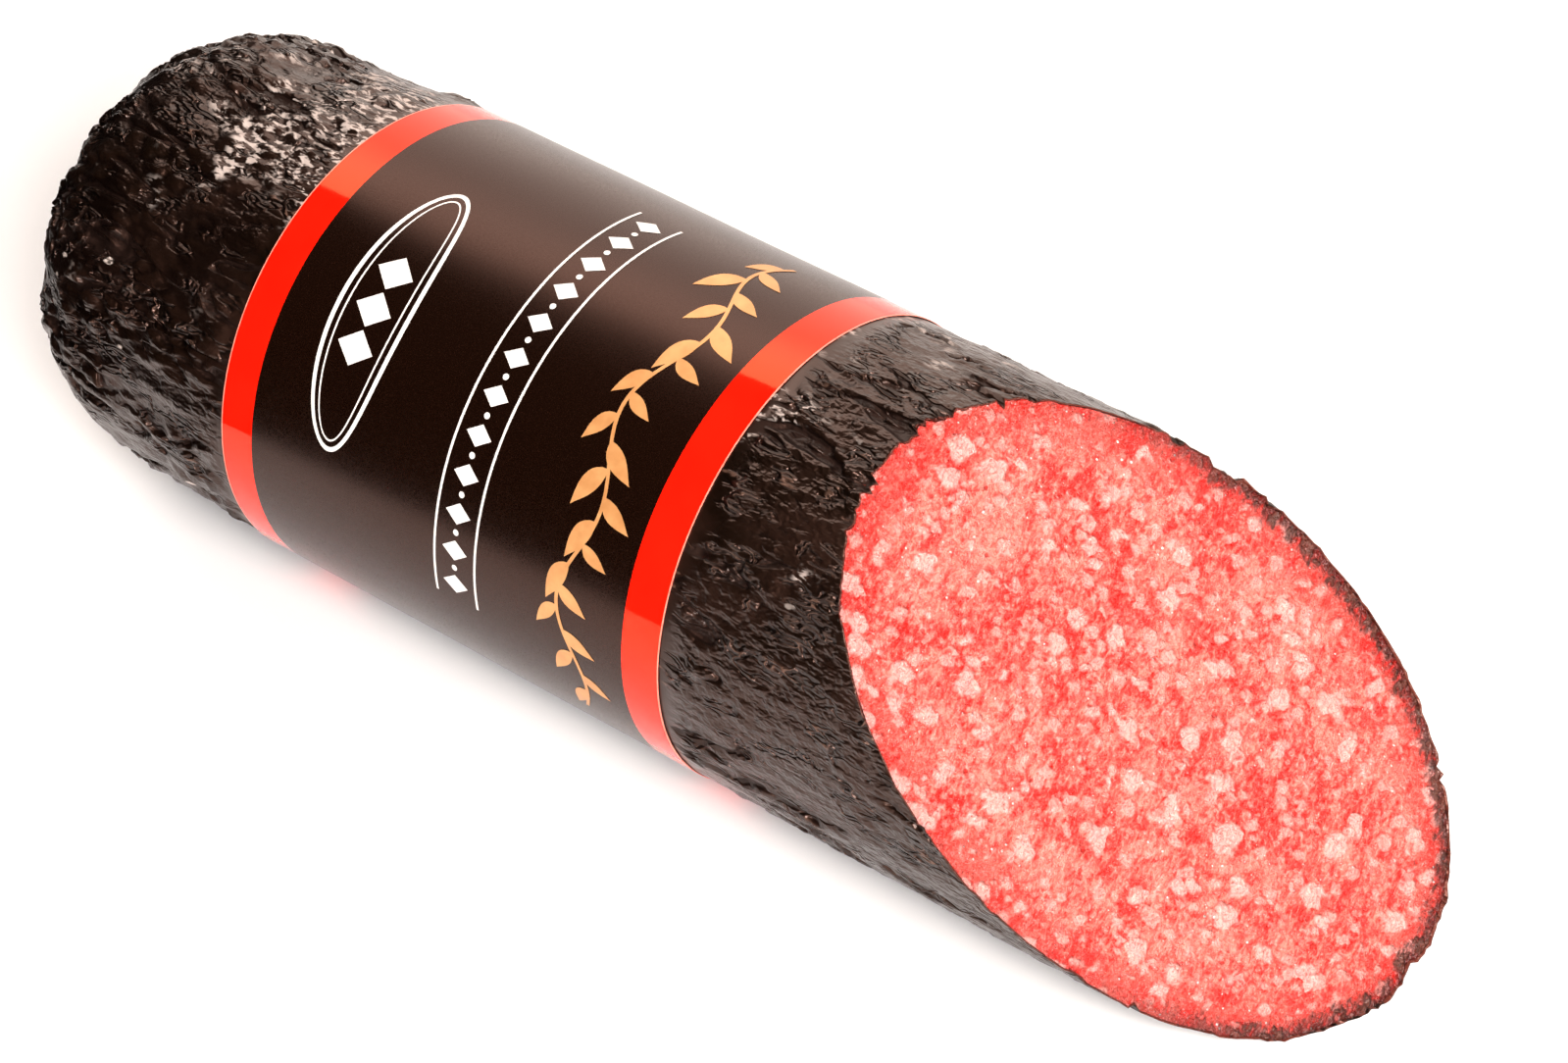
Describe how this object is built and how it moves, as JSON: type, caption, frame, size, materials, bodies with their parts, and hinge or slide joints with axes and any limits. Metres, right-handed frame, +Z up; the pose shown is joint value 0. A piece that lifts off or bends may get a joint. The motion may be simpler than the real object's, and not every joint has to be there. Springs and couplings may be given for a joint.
{
  "type": "cured sausage",
  "caption": "Dry-cured sausage lying on its side, one end rounded and tied off, the other cut on a slant to show the marbled meat, with a printed band round its middle.",
  "frame": {"origin": "middle of the bounding box in X and Y, on the surface that the sausage lies on", "axes": "+X along the sausage towards the cut end, +Z up as it lies, -Y the side that the cut face is turned towards"},
  "size_m": [0.2992, 0.09, 0.0892],
  "materials": {
    "meat": "moist cut meat, bright red lean marbled with pale pink fat",
    "casing": "thin dried casing, glossy brown-black, finely wrinkled, with traces of pale bloom",
    "label": "printed film, satin black panel between two glossy red stripes",
    "clip": "bright drawn wire"
  },
  "bodies": {
    "root": {"meat": "meat", "casing": "casing", "label": "label", "clip": "clip"}
  },
  "joints": []
}
